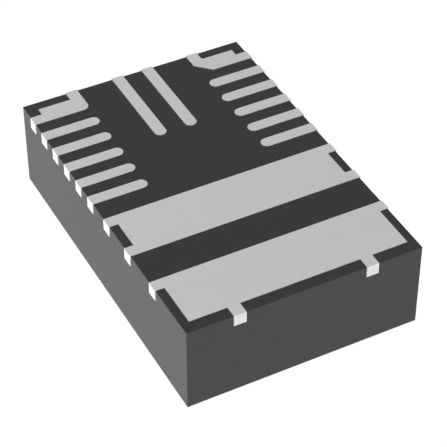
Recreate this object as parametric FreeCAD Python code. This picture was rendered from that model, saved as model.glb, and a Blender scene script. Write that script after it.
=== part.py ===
# A moulded step-down converter module, lying on its marking face with its solder lands up.
# Millimetres. +X is the short side, +Y the long side, +Z points out of the lands.
# The origin is the centre of the flat marking face.

import FreeCAD, Part

import math
import os

Vector = FreeCAD.Vector
UP = Vector(0, 0, 1)

# Moulded body
body_width = 4.0
body_length = 6.0
body_height = 1.54
pin_dot_inset = 0.55
pin_dot_radius = 0.15
pin_dot_depth = 0.02

# Lead frame
lead_thickness = 0.20
lead_proud = 0.014
lead_width = 0.207
lead_pitch = 0.45
ledge_thickness = 0.10
ledge_reach = 0.10
first_row_inset = 0.45
side_lead_count = 5
side_lead_length = 0.975
back_lead_spacing = 0.55
back_lead_length = 1.745
tab_inset = 0.875
pad_setback = 0.195
pin_one_chamfer = 0.245
pad_corner_radius = 0.12
pad_notch_radius = 0.05
bar_setback = 0.145
middle_bar_step = 0.60
middle_bar_tab_step = 0.75
bar_gap = 0.645
tongue_clearance = 0.375
tongue_end_clearance = 0.205

# Converter die and its pillars
pillar_height = 0.08
pillar_radius = 0.05
pillar_inset = 0.015
back_pillar_length = 0.90
tongue_pillar_length = 0.50
tongue_pillar_pitch = 0.60
die_thickness = 0.20
die_margin = 0.06

# Solder joints
solder_height = 0.03

# Chip capacitors
small_chip_length = 0.60
small_chip_width = 0.30
small_chip_height = 0.30
small_chip_cap_length = 0.15
large_chip_length = 1.00
large_chip_width = 0.50
large_chip_height = 0.50
large_chip_cap_length = 0.25
chip_cap_thickness = 0.02
small_chip_inset = 0.50
large_chip_inset = 0.42

# Power inductor
inductor_cover = 0.17
inductor_side_cover = 0.40
inductor_chip_gap = 0.10
core_edge_bevel = 0.05
core_wall_side = 0.30
core_wall_end = 0.12
core_wall_face = 0.16
terminal_thickness = 0.08
terminal_foot_length = 0.50
terminal_margin = 0.10
strip_thickness = 0.20
strip_gap = 0.02
layer_gap = 0.02
winding_half_turns = 3
link_half_length = 0.05
link_inset = 0.01

# Levels and edges that the pieces share
land_plane = body_height + lead_proud
frame_level = land_plane - lead_thickness
half_width = body_width / 2
half_length = body_length / 2
side_end = half_width + lead_proud
end_end = half_length + lead_proud
side_tip = half_width - side_lead_length
back_tip = half_length - back_lead_length
tab_x = half_width - tab_inset
row_y = [half_length - first_row_inset - row * lead_pitch for row in range(side_lead_count + 1)]
middle_tab_y = row_y[-1] - middle_bar_step
middle_bar_back = middle_tab_y + lead_width / 2
middle_bar_front = middle_tab_y - middle_bar_tab_step - lead_width / 2
front_bar_back = middle_bar_front - bar_gap
front_bar_front = -half_length + pad_setback


def block(x_range, y_range, z_range):
    """A square block between the low and high values of each range."""
    corner = Vector(x_range[0], y_range[0], z_range[0])
    return Part.makeBox(
        x_range[1] - x_range[0], y_range[1] - y_range[0], z_range[1] - z_range[0], corner)


def full_plate(x_range, y_range):
    """Lead frame at its full thickness, which shows on the land face."""
    return block(x_range, y_range, (frame_level, land_plane))


def ledge_plate(x_range, y_range):
    """Lead frame etched thin from the land side, which stays under the compound."""
    return block(x_range, y_range, (frame_level, frame_level + ledge_thickness))


def around(centre, width):
    """The range of a given width about a centre."""
    return (centre - width / 2, centre + width / 2)


def overlap(first, second):
    """The range that two ranges share."""
    return (max(first[0], second[0]), min(first[1], second[1]))


def joined(pieces):
    """One solid from pieces that touch or overlap, with flush faces merged."""
    return pieces[0].fuse(pieces[1:]).removeSplitter()


def mirrored(shape):
    """The same piece on the other side of the module."""
    return shape.mirror(Vector(0, 0, 0), Vector(1, 0, 0))


def upright_edge(shape, x, y):
    """The upright edge of a plate that stands at x, y."""
    for edge in shape.Edges:
        ends = [vertex.Point for vertex in edge.Vertexes]
        if all(math.hypot(point.x - x, point.y - y) < 1e-6 for point in ends):
            return edge
    raise ValueError("no upright edge there")


def slot_shape(x, y, length, width, z_range):
    """A post with round ends, lying along Y about x, y, and round where its length is its width."""
    if length <= width:
        return Part.makeCylinder(width / 2, z_range[1] - z_range[0], Vector(x, y, z_range[0]))
    reach = (length - width) / 2
    radius = width / 2
    z = z_range[0]
    outline = Part.Wire([
        Part.makeLine(Vector(x - radius, y - reach, z), Vector(x - radius, y + reach, z)),
        Part.Arc(Vector(x - radius, y + reach, z), Vector(x, y + reach + radius, z),
                 Vector(x + radius, y + reach, z)).toShape(),
        Part.makeLine(Vector(x + radius, y + reach, z), Vector(x + radius, y - reach, z)),
        Part.Arc(Vector(x + radius, y - reach, z), Vector(x, y - reach - radius, z),
                 Vector(x - radius, y - reach, z)).toShape(),
    ])
    return Part.Face(outline).extrude(UP * (z_range[1] - z_range[0]))


# Lead frame: round-tipped leads

def round_tipped_strip(tip, end):
    """A full-thickness strip of lead along +X, from a round tip to a square end."""
    radius = lead_width / 2
    z = frame_level
    outline = Part.Wire([
        Part.makeLine(Vector(end, radius, z), Vector(tip + radius, radius, z)),
        Part.Arc(Vector(tip + radius, radius, z), Vector(tip, 0, z),
                 Vector(tip + radius, -radius, z)).toShape(),
        Part.makeLine(Vector(tip + radius, -radius, z), Vector(end, -radius, z)),
        Part.makeLine(Vector(end, -radius, z), Vector(end, radius, z)),
    ])
    return Part.Face(outline).extrude(UP * lead_thickness)


def finger(tip, end):
    """A round-tipped lead with its buried half running on past the tip as a thin square ledge."""
    return joined([
        round_tipped_strip(tip, end),
        ledge_plate((tip - ledge_reach, end), around(0, lead_width)),
    ])


def side_finger(y):
    """A finger from the right side face."""
    lead = finger(side_tip, side_end)
    lead.translate(Vector(0, y, 0))
    return lead


def back_finger():
    """The right-hand finger from the back face."""
    lead = finger(back_tip, end_end)
    lead.rotate(Vector(0, 0, 0), UP, 90)
    lead.translate(Vector(back_lead_spacing / 2, 0, 0))
    return lead


# Lead frame: corner pads and bars

def corner_lead():
    """The right-hand pad at the back corner, with a tab to each sawn face, still square inside."""
    inner = tab_x - lead_width / 2
    outer = half_width - pad_setback
    front = row_y[0] - lead_width / 2
    back = half_length - pad_setback
    return joined([
        full_plate((inner, outer), (front, back)),
        full_plate((inner, side_end), around(row_y[0], lead_width)),
        full_plate(around(tab_x, lead_width), (front, end_end)),
    ])


def corner_ledge():
    """The thin ledge on the two inner sides of a corner pad."""
    inner = tab_x - lead_width / 2
    front = row_y[0] - lead_width / 2
    return ledge_plate(
        (inner - ledge_reach, half_width - pad_setback), (front - ledge_reach, half_length - pad_setback))


def corner_lead_right():
    """The pad with the bevelled inner corner that marks the first terminal, and a rounded notch."""
    pad = corner_lead()
    corner = upright_edge(pad, tab_x - lead_width / 2, row_y[0] - lead_width / 2)
    pad = pad.makeChamfer(pin_one_chamfer, [corner])
    notch = upright_edge(pad, tab_x + lead_width / 2, half_length - pad_setback)
    return joined([pad.makeFillet(pad_notch_radius, [notch]), corner_ledge()])


def corner_lead_left():
    """The pad with the rounded inner corner."""
    pad = corner_lead()
    corner = upright_edge(pad, tab_x - lead_width / 2, row_y[0] - lead_width / 2)
    return mirrored(joined([pad.makeFillet(pad_corner_radius, [corner]), corner_ledge()]))


bar_x = (-half_width + bar_setback, half_width - bar_setback)
side_x = (-side_end, side_end)


def middle_bar_lead():
    """The switching bar: two tabs each side, a front ledge, and a thin tongue that runs under the die."""
    tongue_half = side_tip - ledge_reach - tongue_clearance
    tongue_end = back_tip - ledge_reach - tongue_end_clearance
    return joined([
        full_plate(bar_x, (middle_bar_front, middle_bar_back)),
        full_plate(side_x, around(middle_tab_y, lead_width)),
        full_plate(side_x, around(middle_tab_y - middle_bar_tab_step, lead_width)),
        ledge_plate(bar_x, (middle_bar_front - ledge_reach, middle_bar_front)),
        ledge_plate((-tongue_half, tongue_half), (middle_bar_back, tongue_end)),
    ])


def front_bar_lead():
    """The output bar: one tab each side, two to the front face, and a back ledge."""
    return joined([
        full_plate(bar_x, (front_bar_front, front_bar_back)),
        full_plate(side_x, (front_bar_back - lead_width, front_bar_back)),
        full_plate(around(tab_x, lead_width), (-end_end, front_bar_back)),
        full_plate(around(-tab_x, lead_width), (-end_end, front_bar_back)),
        ledge_plate(bar_x, (front_bar_back, front_bar_back + ledge_reach)),
    ])


# Converter die, face to the lead frame on copper pillars

pillar_z = (frame_level - pillar_height, frame_level)
die_z = (pillar_z[0] - die_thickness, pillar_z[0])
pillar_x = side_tip - ledge_reach + lead_width / 2 + pillar_inset
die_edge = pillar_radius + die_margin
die_x = (-pillar_x - die_edge, pillar_x + die_edge)
die_y = (row_y[-1] - die_edge, row_y[0] + die_edge)


def pillars():
    """Round pillars on the side leads and corner pads, long ones on the back leads and the tongue."""
    width = 2 * pillar_radius
    posts = []
    for side in (-1, 1):
        posts += [slot_shape(side * pillar_x, y, width, width, pillar_z) for y in row_y]
        back_y = back_tip + lead_width / 2 + back_pillar_length / 2
        posts.append(slot_shape(side * back_lead_spacing / 2, back_y, back_pillar_length, width, pillar_z))
    tongue_half = side_tip - ledge_reach - tongue_clearance
    count = int((2 * tongue_half - width) / tongue_pillar_pitch) + 1
    y = die_y[0] + die_margin + tongue_pillar_length / 2
    for step in range(count):
        x = (step - (count - 1) / 2) * tongue_pillar_pitch
        posts.append(slot_shape(x, y, tongue_pillar_length, width, pillar_z))
    return posts


# Chip capacitors, each soldered across two neighbouring leads

chip_top = frame_level - solder_height
small_chip = (small_chip_length, small_chip_width, small_chip_height, small_chip_cap_length)
large_chip = (large_chip_length, large_chip_width, large_chip_height, large_chip_cap_length)
small_chip_x = half_width - small_chip_inset
large_chip_x = half_width - large_chip_inset
input_chip_y = (row_y[0] + row_y[1]) / 2
supply_chip_y = (row_y[3] + row_y[4]) / 2
boot_chip_y = (row_y[-1] + middle_tab_y) / 2


def solder_pad(x_range, y_range):
    """A solder joint between a terminal and the lead frame."""
    return block(x_range, y_range, (chip_top, frame_level))


def chip(x, y, size, front_lead, back_lead):
    """A ceramic block along Y, the metal caps round its ends, and its joints to two leads."""
    length, width, height, cap_length = size
    wall = chip_cap_thickness
    x_range = around(x, width)
    z_range = (chip_top - height, chip_top)
    ceramic = block(
        around(x, width - 2 * wall), around(y, length - 2 * wall), (z_range[0] + wall, z_range[1] - wall))
    front_cap = (y - length / 2, y - length / 2 + cap_length)
    back_cap = (y + length / 2 - cap_length, y + length / 2)
    caps = [block(x_range, cap, z_range).cut(ceramic) for cap in (front_cap, back_cap)]
    joints = [
        solder_pad(x_range, overlap(front_cap, front_lead)),
        solder_pad(x_range, overlap(back_cap, back_lead)),
    ]
    return ceramic, caps, joints


# Power inductor: a pressed core round a strip winding, on the two bars

inductor_z = (inductor_cover, frame_level - solder_height)
inductor_x = (-half_width + inductor_side_cover, half_width - inductor_side_cover)
inductor_y = (front_bar_front, boot_chip_y - large_chip_length / 2 - inductor_chip_gap)
inductor_mid_y = (inductor_y[0] + inductor_y[1]) / 2
strip_low = inductor_z[0] + core_wall_face + terminal_thickness
strip_high = inductor_z[1] - core_wall_face - terminal_thickness
strip_height = (strip_high - strip_low - layer_gap) / 2
terminal_face = (inductor_y[1] - inductor_y[0]) / 2 - terminal_thickness
outer_radius = terminal_face - core_wall_end - strip_thickness / 2
outer_crossing = inductor_x[1] - core_wall_side - strip_thickness / 2
straight_run = 2 * (outer_crossing - outer_radius)
terminal_half_width = outer_crossing + strip_thickness / 2 + terminal_margin


def strip_side(offset):
    """One long edge of the wound strip, from its lead-out to its inner end, offset outward.

    Each half turn is a quarter arc, a straight run and a quarter arc, and the next one is smaller
    by half a pitch, so the turns lie inside each other and join without a kink.
    """
    slant = math.sqrt(0.5)
    x = outer_crossing
    radius = outer_radius
    side = 1
    edges = [Part.makeLine(Vector(x + offset, -terminal_face, 0), Vector(x + offset, 0, 0))]
    for half_turn in range(winding_half_turns):
        reach = radius + offset
        first = x - side * radius
        second = first - side * straight_run
        start = Vector(first + side * reach, 0, 0)
        crest = Vector(first, side * reach, 0)
        far_crest = Vector(second, side * reach, 0)
        end = Vector(second - side * reach, 0, 0)
        rise = Vector(first + side * reach * slant, side * reach * slant, 0)
        fall = Vector(second - side * reach * slant, side * reach * slant, 0)
        edges.append(Part.Arc(start, rise, crest).toShape())
        edges.append(Part.makeLine(crest, far_crest))
        edges.append(Part.Arc(far_crest, fall, end).toShape())
        x = second - side * radius
        radius = radius - (strip_thickness + strip_gap) / 2
        side = -side
    last = edges[-1].Vertexes[-1].Point
    edges.append(Part.makeLine(last, last + Vector(0, side * link_half_length, 0)))
    return edges, x


def winding():
    """Two spiral layers of one flat strip, linked at the inner turn, with both ends led out."""
    outer, inner_crossing = strip_side(strip_thickness / 2)
    inner, inner_crossing = strip_side(-strip_thickness / 2)
    caps = [
        Part.makeLine(outer[0].Vertexes[0].Point, inner[0].Vertexes[0].Point),
        Part.makeLine(outer[-1].Vertexes[-1].Point, inner[-1].Vertexes[-1].Point),
    ]
    outline = Part.Wire(Part.__sortEdges__(outer + inner + caps))
    lower = Part.Face(outline).extrude(UP * strip_height)
    upper = lower.mirror(Vector(0, 0, 0), Vector(0, 1, 0))
    upper.translate(UP * (strip_height + layer_gap))
    link = block(
        around(inner_crossing, strip_thickness - 2 * link_inset), (-link_half_length, link_half_length),
        (strip_height, strip_height + layer_gap))
    coil = lower.fuse([link, upper])
    coil.translate(Vector(0, inductor_mid_y, strip_low))
    return coil


def terminal(end_y, inward):
    """An L-shaped strip: its leg stands on the core's end, its foot lies on the land side."""
    across = (-terminal_half_width, terminal_half_width)
    leg = sorted((end_y, end_y + inward * terminal_thickness))
    foot = sorted((end_y, end_y + inward * terminal_foot_length))
    return joined([
        block(across, leg, (strip_low, inductor_z[1])),
        block(across, foot, (inductor_z[1] - terminal_thickness, inductor_z[1])),
    ])


def inductor_core(fittings):
    """The pressed block, with its upright edges bevelled, round the winding and terminals."""
    core = block(inductor_x, inductor_y, inductor_z)
    corners = [upright_edge(core, x, y) for x in inductor_x for y in inductor_y]
    return core.makeChamfer(core_edge_bevel, corners).cut(fittings)


# Moulded body

def moulded_body(contents):
    """The sawn block of compound, filled round everything that it holds."""
    compound = block(
        (-half_width, half_width), (-half_length, half_length), (0, body_height)).cut(contents)
    dot = Part.makeCylinder(
        pin_dot_radius, pin_dot_depth, Vector(half_width - pin_dot_inset, half_length - pin_dot_inset, 0))
    return compound.cut(dot)


# Assembly, from the lead frame inward

parts = {}
parts["corner_lead_left"] = [corner_lead_left()]
parts["corner_lead_right"] = [corner_lead_right()]
for number in range(1, side_lead_count + 1):
    lead = side_finger(row_y[number])
    parts["side_lead_right_%d" % number] = [lead]
    parts["side_lead_left_%d" % number] = [mirrored(lead)]
parts["back_lead_right"] = [back_finger()]
parts["back_lead_left"] = [mirrored(back_finger())]
parts["middle_bar_lead"] = [middle_bar_lead()]
parts["front_bar_lead"] = [front_bar_lead()]

parts["die_pillars"] = pillars()
parts["converter_die"] = [block(die_x, die_y, die_z)]

lead_rows = [around(y, lead_width) for y in row_y]
corner_pad_y = (row_y[0] - lead_width / 2 - ledge_reach, half_length - pad_setback)
middle_bar_y = (middle_bar_front, middle_bar_back)
front_bar_y = (front_bar_front, front_bar_back)
chips = {
    "input_capacitor_left": chip(-small_chip_x, input_chip_y, small_chip, lead_rows[1], corner_pad_y),
    "input_capacitor_right": chip(small_chip_x, input_chip_y, small_chip, lead_rows[1], corner_pad_y),
    "supply_capacitor": chip(small_chip_x, supply_chip_y, small_chip, lead_rows[4], lead_rows[3]),
    "boot_capacitor": chip(-large_chip_x, boot_chip_y, large_chip, middle_bar_y, lead_rows[-1]),
}
parts["capacitor_solder"] = []
for name, (ceramic, caps, joints) in chips.items():
    parts[name] = [ceramic]
    parts[name + "_caps"] = caps
    parts["capacitor_solder"] += joints

coil = winding()
front_terminal = terminal(inductor_y[0], 1)
back_terminal = terminal(inductor_y[1], -1)
parts["inductor_winding"] = [coil]
parts["inductor_terminal_front"] = [front_terminal]
parts["inductor_terminal_back"] = [back_terminal]
parts["inductor_core"] = [inductor_core([coil, front_terminal, back_terminal])]
foot_x = (-terminal_half_width, terminal_half_width)
front_foot = (inductor_y[0], inductor_y[0] + terminal_foot_length)
back_foot = (inductor_y[1] - terminal_foot_length, inductor_y[1])
parts["inductor_solder"] = [
    solder_pad(foot_x, overlap(front_foot, front_bar_y)),
    solder_pad(foot_x, overlap(back_foot, middle_bar_y)),
]

contents = [solid for solids in parts.values() for solid in solids]
parts["moulded_body"] = [moulded_body(contents)]

os.makedirs("parts", exist_ok=True)
for name, solids in parts.items():
    shape = solids[0] if len(solids) == 1 else Part.makeCompound(solids)
    shape.exportStep("parts/%s.step" % name)
    print(name, len(shape.Solids), round(shape.Volume, 5), shape.isValid())
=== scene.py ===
import math

import bpy
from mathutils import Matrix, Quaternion, Vector


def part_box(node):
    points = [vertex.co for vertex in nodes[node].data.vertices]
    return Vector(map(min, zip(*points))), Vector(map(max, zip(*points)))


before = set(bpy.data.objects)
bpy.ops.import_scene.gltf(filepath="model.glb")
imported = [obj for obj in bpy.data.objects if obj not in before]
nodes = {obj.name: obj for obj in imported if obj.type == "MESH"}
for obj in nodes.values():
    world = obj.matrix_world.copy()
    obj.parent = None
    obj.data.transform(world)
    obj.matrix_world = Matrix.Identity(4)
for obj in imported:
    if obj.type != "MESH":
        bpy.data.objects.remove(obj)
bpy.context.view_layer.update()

# Camera
# It looks down on the land side from the front left corner, through a long lens that stands
# five body lengths off, so that the module's edges run nearly parallel.

MM = 0.001
camera_place = Vector((-10.0091, -19.3992, 19.7010)) * MM
camera_forward = Vector((0.34905, 0.66468, -0.66058))
camera_roll = math.radians(0.051)

camera_data = bpy.data.cameras.new("camera")
camera_data.sensor_width = 36
camera_data.lens = 144.317
camera_data.clip_start = 1 * MM
camera_data.clip_end = 1000 * MM
camera = bpy.data.objects.new("camera", camera_data)
camera.location = camera_place
camera.rotation_mode = "QUATERNION"
camera.rotation_quaternion = (
    camera_forward.to_track_quat("-Z", "Y") @ Quaternion((0, 0, 1), camera_roll))
bpy.context.scene.collection.objects.link(camera)
bpy.context.scene.camera = camera

# Lead frame
# One sheet of copper, etched to the outline of all the leads and bars and plated with matte tin.
# It is cut apart with the moulding, so the lead ends show on the sawn faces, a little proud and
# rougher than the lands. The ends are also painted lighter than the lands, as painted light.


class Wire:
    """One socket of a finish. Arithmetic on it, and on numbers beside it, adds Math nodes."""

    def __init__(self, finish, socket):
        self.finish = finish
        self.socket = socket

    def maths(self, operation, *values):
        """A Math node, fed with its values in order."""
        return self.finish.node("ShaderNodeMath", {"operation": operation}, dict(enumerate(values)))

    def __add__(self, other):
        return self.maths("ADD", self, other)

    def __sub__(self, other):
        return self.maths("SUBTRACT", self, other)

    def __rsub__(self, other):
        return self.maths("SUBTRACT", other, self)

    def __mul__(self, other):
        return self.maths("MULTIPLY", self, other)

    def __gt__(self, other):
        return self.maths("GREATER_THAN", self, other)

    def __lt__(self, other):
        return self.maths("LESS_THAN", self, other)

    def __abs__(self):
        return self.maths("ABSOLUTE", self)

    __radd__ = __add__
    __rmul__ = __mul__

    def clamped(self):
        """The same value, held between nought and one."""
        return self.finish.node("ShaderNodeClamp", {}, {"Value": self})


class Finish:
    """A node tree in the making: that of a material, or of the world."""

    def __init__(self, owner):
        owner.use_nodes = True
        self.owner = owner
        self.tree = owner.node_tree
        self.tree.nodes.clear()

    def node(self, kind, settings, sockets, out=0):
        """A node of a kind, with its settings, then the values or wires of its sockets."""
        node = self.tree.nodes.new(kind)
        for name, value in settings.items():
            setattr(node, name, value)
        for name, value in sockets.items():
            if isinstance(value, Wire):
                self.tree.links.new(value.socket, node.inputs[name])
            else:
                node.inputs[name].default_value = value
        return Wire(self, node.outputs[out]) if node.outputs else None

    def place(self, stretch=(1, 1, 1)):
        """The place on the part in millimetres, multiplied along each axis by a stretch."""
        metres = self.node("ShaderNodeTexCoord", {}, {}, out="Object")
        factors = [factor / MM for factor in stretch]
        return self.node("ShaderNodeVectorMath", {"operation": "MULTIPLY"}, {0: metres, 1: factors})

    def along(self, vector, axis):
        """One axis of a vector."""
        return self.node("ShaderNodeSeparateXYZ", {}, {"Vector": vector}, out=axis)

    def facing_up(self):
        """One where the surface faces up, nought where it stands upright, minus one where it faces down."""
        return self.along(self.node("ShaderNodeTexCoord", {}, {}, out="Normal"), "Z")

    def upright(self):
        """One on walls that stand upright, else nought."""
        return abs(self.facing_up()) < 0.5

    def noise(self, place, lumps, detail=2.0):
        """Cloudy noise from nought to one, with so many lumps to a millimetre."""
        return self.node("ShaderNodeTexNoise", {}, {"Vector": place, "Scale": lumps, "Detail": detail})

    def cells(self, lumps):
        """Rounded cells, from nought in the middle of each, with so many to a millimetre."""
        sockets = {"Vector": self.place(), "Scale": lumps}
        return self.node("ShaderNodeTexVoronoi", {}, sockets, out="Distance")

    def blend(self, share, first, second):
        """The first colour, with a share of the second mixed in."""
        factor_in, first_in, second_in, colour_out = 0, 6, 7, 2
        first, second = ((*colour, 1) if isinstance(colour, tuple) else colour
                         for colour in (first, second))
        sockets = {factor_in: share, first_in: first, second_in: second}
        return self.node("ShaderNodeMix", {"data_type": "RGBA"}, sockets, out=colour_out)

    def shaded(self, colour, shade):
        """A colour made lighter or darker by a factor."""
        return self.node(
            "ShaderNodeVectorMath", {"operation": "SCALE"}, {"Vector": colour, "Scale": shade})

    def bump(self, height, depth):
        """Relief of a depth in millimetres, from a height of nought to one."""
        return self.node("ShaderNodeBump", {}, {"Height": height, "Distance": depth * MM, "Strength": 1.0})

    def surface(self, sockets):
        """The main surface shader, wired to the material's output."""
        shader = self.node("ShaderNodeBsdfPrincipled", {}, sockets)
        self.node("ShaderNodeOutputMaterial", {}, {"Surface": shader})


def finish_named(name):
    """A finish that starts out as an empty material of that name."""
    return Finish(bpy.data.materials.new(name))


def dress(names, finish):
    """Gives the named pieces one finish."""
    for name in names:
        slots = nodes[name].data.materials
        slots.clear()
        slots.append(finish.owner)


lead_names = [name for name in nodes if "_lead" in name]
body_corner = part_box("moulded_body")[1] / MM
land_tin = (0.513, 0.518, 0.529)
# The ends' colour is painted lighter than the lands', as painted light on the sawn sides.
end_tin_painted_lit = (0.842, 0.844, 0.848)

tin = finish_named("matte_tin")
spot = tin.place()
grain = tin.noise(spot, lumps=110, detail=4.0)
patches = tin.noise(spot, lumps=2.5)
saw_lines = tin.noise(tin.place(stretch=(4, 4, 60)), lumps=1, detail=4.0)
past_sides = abs(tin.along(spot, "X")) > body_corner.x
past_ends = abs(tin.along(spot, "Y")) > body_corner.y
sawn_painted_lighter = (past_sides + past_ends).clamped() * tin.upright()
relief = grain + (saw_lines - grain) * sawn_painted_lighter
shade = 0.87 + 0.22 * relief + 0.04 * patches
tin.surface({
    # Painted light: the sawn ends take the lighter colour, the lands the darker.
    "Base Color": tin.shaded(tin.blend(sawn_painted_lighter, land_tin, end_tin_painted_lit), shade),
    "Metallic": 1.0,
    "Roughness": 0.48 + 0.18 * relief + 0.28 * sawn_painted_lighter,
    "Normal": tin.bump(relief, depth=0.0012),
})
dress(lead_names, tin)

# Converter die and its pillars
# A thin chip of silicon that hangs face to the lead frame. Its face carries the circuit under a
# brown film, its back is ground. The pillars are copper, plated up on it, each tipped with solder.

silicon_grey = (0.150, 0.158, 0.172)
film_brown = (0.170, 0.125, 0.070)
track_gold = (0.330, 0.255, 0.150)

silicon = finish_named("silicon")
spot = silicon.place()
blocks = silicon.node(
    "ShaderNodeTexVoronoi", {"distance": "CHEBYCHEV"}, {"Vector": spot, "Scale": 4.0})
tracks = silicon.node(
    "ShaderNodeTexWave", {"bands_direction": "DIAGONAL"},
    {"Vector": spot, "Scale": 9.0, "Distortion": 6.0, "Detail": 0.0})
grinding = silicon.noise(silicon.place(stretch=(4, 120, 4)), lumps=1)
circuit = silicon.blend(0.35 * tracks + 0.5 * blocks, film_brown, track_gold)
ground_back = silicon.shaded(silicon_grey, 0.9 + 0.2 * grinding)
silicon.surface({
    "Base Color": silicon.blend(silicon.facing_up() > 0.5, ground_back, circuit),
    "Roughness": 0.30 + 0.12 * grinding,
    "Normal": silicon.bump(grinding, depth=0.0004),
})
dress(["converter_die"], silicon)

solder_tip_level = 1.330
copper_red = (0.780, 0.395, 0.255)
solder_silver = (0.620, 0.625, 0.640)

pillar = finish_named("tipped_copper")
plating = pillar.noise(pillar.place(), lumps=60, detail=3.0)
tip = pillar.along(pillar.place(), "Z") > solder_tip_level
pillar.surface({
    "Base Color": pillar.shaded(pillar.blend(tip, copper_red, solder_silver), 0.92 + 0.12 * plating),
    "Metallic": 1.0,
    "Roughness": 0.36 + 0.14 * plating,
    "Normal": pillar.bump(plating, depth=0.0008),
})
dress(["die_pillars"], pillar)

# Chip capacitors
# Layers of fired ceramic and metal, stacked and cut to blocks, with a tinned cap round each end.
# Each is soldered across two neighbouring leads.

fired_brown = (0.360, 0.225, 0.130)
fired_pale = (0.440, 0.300, 0.185)
cap_tin = (0.600, 0.600, 0.605)
cap_names = [name for name in nodes if name.endswith("_caps")]
chip_names = [name.removesuffix("_caps") for name in cap_names]

ceramic = finish_named("fired_ceramic")
grains = ceramic.noise(ceramic.place(), lumps=45, detail=4.0)
kiln = ceramic.noise(ceramic.place(), lumps=3)
ceramic.surface({
    "Base Color": ceramic.blend((0.7 * grains + 0.5 * kiln - 0.2).clamped(), fired_brown, fired_pale),
    "Roughness": 0.42 + 0.15 * grains,
    "Normal": ceramic.bump(grains, depth=0.0010),
})
dress(chip_names, ceramic)

cap = finish_named("barrel_plated_tin")
dimples = cap.noise(cap.place(), lumps=30, detail=3.0)
cap.surface({
    "Base Color": cap.shaded(cap.blend(dimples, cap_tin, solder_silver), 0.93 + 0.10 * dimples),
    "Metallic": 1.0,
    "Roughness": 0.34 + 0.18 * dimples,
    "Normal": cap.bump(dimples, depth=0.0020),
})
dress(cap_names, cap)

solder = finish_named("solder")
crystals = solder.cells(lumps=28)
solder.surface({
    "Base Color": solder.shaded(solder.blend(crystals, solder_silver, cap_tin), 0.90 + 0.14 * crystals),
    "Metallic": 1.0,
    "Roughness": 0.26 + 0.16 * crystals,
    "Normal": solder.bump(crystals, depth=0.0012),
})
dress(["capacitor_solder", "inductor_solder"], solder)

# Power inductor
# A flat strip of enamelled copper, wound in two layers and pressed inside a block of alloy powder.
# Its two ends meet the tinned terminals, which fold over the block on to the two bars.

enamel_amber = (0.640, 0.265, 0.105)
powder_grey = (0.075, 0.076, 0.080)
powder_bright = (0.230, 0.230, 0.235)

winding = finish_named("enamelled_copper")
rolling = winding.noise(winding.place(stretch=(3, 3, 80)), lumps=1, detail=3.0)
enamel = winding.noise(winding.place(), lumps=5)
winding.surface({
    "Base Color": winding.shaded(winding.blend(enamel, enamel_amber, copper_red), 0.88 + 0.16 * rolling),
    "Metallic": 1.0,
    "Roughness": 0.28 + 0.12 * rolling,
    "Coat Weight": 0.6,
    "Coat Roughness": 0.12,
    "Normal": winding.bump(rolling, depth=0.0008),
})
dress(["inductor_winding"], winding)

terminal = finish_named("tinned_strip")
rolling = terminal.noise(terminal.place(stretch=(60, 3, 3)), lumps=1, detail=3.0)
terminal.surface({
    "Base Color": terminal.shaded(terminal.blend(rolling, cap_tin, solder_silver), 0.92 + 0.12 * rolling),
    "Metallic": 1.0,
    "Roughness": 0.32 + 0.16 * rolling,
    "Normal": terminal.bump(rolling, depth=0.0010),
})
dress(["inductor_terminal_front", "inductor_terminal_back"], terminal)

core = finish_named("pressed_powder")
powder = core.cells(lumps=36)
pressing = core.noise(core.place(), lumps=2)
core.surface({
    "Base Color": core.blend((1.1 * powder + 0.3 * pressing - 0.4).clamped(), powder_grey, powder_bright),
    "Metallic": 0.35,
    "Roughness": 0.58 + 0.20 * powder,
    "Normal": core.bump(powder, depth=0.0025),
})
dress(["inductor_core"], core)

# Moulded body
# Black epoxy moulding compound, filled with fine silica. The whole strip is moulded in one sheet
# and sawn apart, so its two faces are smooth and matte, and the four sides show the filler cut
# open and faint saw lines. The sides are painted paler, partly for the cut filler and partly as
# painted light standing in for the lamps on them.

compound_black = (0.084, 0.084, 0.085)
filler_grey = (0.125, 0.125, 0.126)
# The sawn colours are paler partly for the cut filler and partly as painted light on the sides.
sawn_black_painted_lit = (0.183, 0.183, 0.184)
sawn_grey_painted_lit = (0.270, 0.270, 0.271)

compound = finish_named("moulding_compound")
spot = compound.place()
speckle = compound.noise(spot, lumps=80, detail=4.0)
flow = compound.noise(spot, lumps=1.2)
saw_lines = compound.noise(compound.place(stretch=(1.5, 1.5, 45)), lumps=1, detail=4.0)
filler = ((speckle - 0.52) * 4.0 + (flow - 0.5) * 0.04).clamped()
moulded_face = compound.blend(filler, compound_black, filler_grey)
# The upright sides take the paler sawn colours: cut filler, and painted light.
sawn_face_painted_lit = compound.blend(filler * 0.7 + saw_lines * 0.25, sawn_black_painted_lit, sawn_grey_painted_lit)
sawn_painted_lighter = compound.upright()
relief = speckle * 0.6 + saw_lines * sawn_painted_lighter * 0.8
compound.surface({
    "Base Color": compound.blend(sawn_painted_lighter, moulded_face, sawn_face_painted_lit),
    "Roughness": 0.76 + 0.16 * speckle,
    "Specular IOR Level": 0.10,
    "Normal": compound.bump(relief, depth=0.0010),
})
dress(["moulded_body"], compound)

# Floor
# A plain sheet just under the module. To the camera and in the tin it is white, with a trace of
# the module's own soft shadow. It is clear to all other light and from below, so that it adds
# nothing to the light on the sides, and the marking face shows.

floor_reach = 400
floor_level = -0.002
paper_share = 0.12
paper_white = 0.8
glow_level = 1.11

floor_mesh = bpy.data.meshes.new("floor")
corners = [Vector((x * floor_reach, y * floor_reach, floor_level)) * MM
           for x, y in ((-1, -1), (1, -1), (1, 1), (-1, 1))]
floor_mesh.from_pydata(corners, [], [(0, 1, 2, 3)])
floor = bpy.data.objects.new("floor", floor_mesh)
bpy.context.scene.collection.objects.link(floor)


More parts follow.
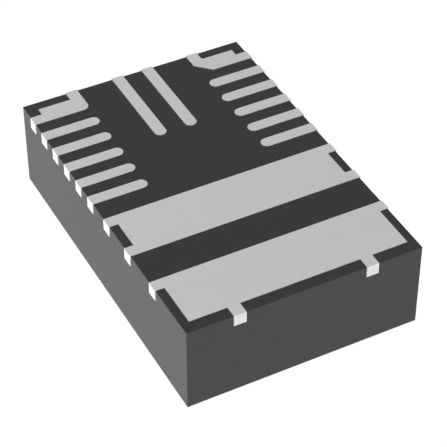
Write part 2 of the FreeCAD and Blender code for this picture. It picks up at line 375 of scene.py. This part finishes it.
def seen(finish):
    """One for the camera's own rays and for those that metal or glass sends on, else nought."""
    rays = [finish.node("ShaderNodeLightPath", {}, {}, out=kind)
            for kind in ("Is Camera Ray", "Is Glossy Ray", "Is Transmission Ray")]
    return (rays[0] + rays[1] + rays[2]).clamped()


sheet = finish_named("white_sheet")
paper = sheet.node("ShaderNodeBsdfDiffuse", {}, {"Color": (paper_white, paper_white, paper_white, 1)})
glow = sheet.node("ShaderNodeEmission", {}, {"Color": (1, 1, 1, 1), "Strength": glow_level})
clear = sheet.node("ShaderNodeBsdfTransparent", {}, {"Color": (1, 1, 1, 1)})
from_below = sheet.node("ShaderNodeNewGeometry", {}, {}, out="Backfacing")
factor_in, first_in, second_in = 0, 1, 2
white = sheet.node("ShaderNodeMixShader", {}, {
    factor_in: 1 - paper_share, first_in: paper, second_in: glow})
shown = sheet.node("ShaderNodeMixShader", {}, {
    factor_in: seen(sheet) * (1 - from_below), first_in: clear, second_in: white})
sheet.node("ShaderNodeOutputMaterial", {}, {"Surface": shown})
floor_mesh.materials.append(sheet.owner)

# Light
# A white room, a long low soft light on the left and a little behind, a weaker one in front, and
# one high up, behind on the left.

room_level = 0.31
bpy.context.scene.world = bpy.data.worlds.new("room")
room = Finish(bpy.context.scene.world)
level = room_level + seen(room) * (1 - room_level)
air = room.node("ShaderNodeBackground", {}, {"Color": (1, 1, 1, 1), "Strength": level})
room.node("ShaderNodeOutputWorld", {}, {"Surface": air})


def soft_light(name, place, length, height, level):
    """A soft lamp that faces the module, and lights a white sheet there to a level at square on."""
    place = Vector(place) * MM
    data = bpy.data.lights.new(name, "AREA")
    data.shape = "RECTANGLE"
    data.size = length * MM
    data.size_y = height * MM
    data.energy = level * math.pi ** 2 * place.length_squared
    lamp = bpy.data.objects.new(name, data)
    lamp.location = place
    lamp.rotation_mode = "QUATERNION"
    lamp.rotation_quaternion = (-place).to_track_quat("-Z", "Y")
    bpy.context.scene.collection.objects.link(lamp)


soft_light("left_light", place=(-58, 14, 1.6), length=60, height=2.8, level=0.495)
soft_light("front_light", place=(6, -60, 1.6), length=120, height=2.8, level=0.05)
soft_light("overhead_light", place=(-26, 34, 54), length=30, height=30, level=0.15)

bpy.context.scene.view_settings.view_transform = "Standard"
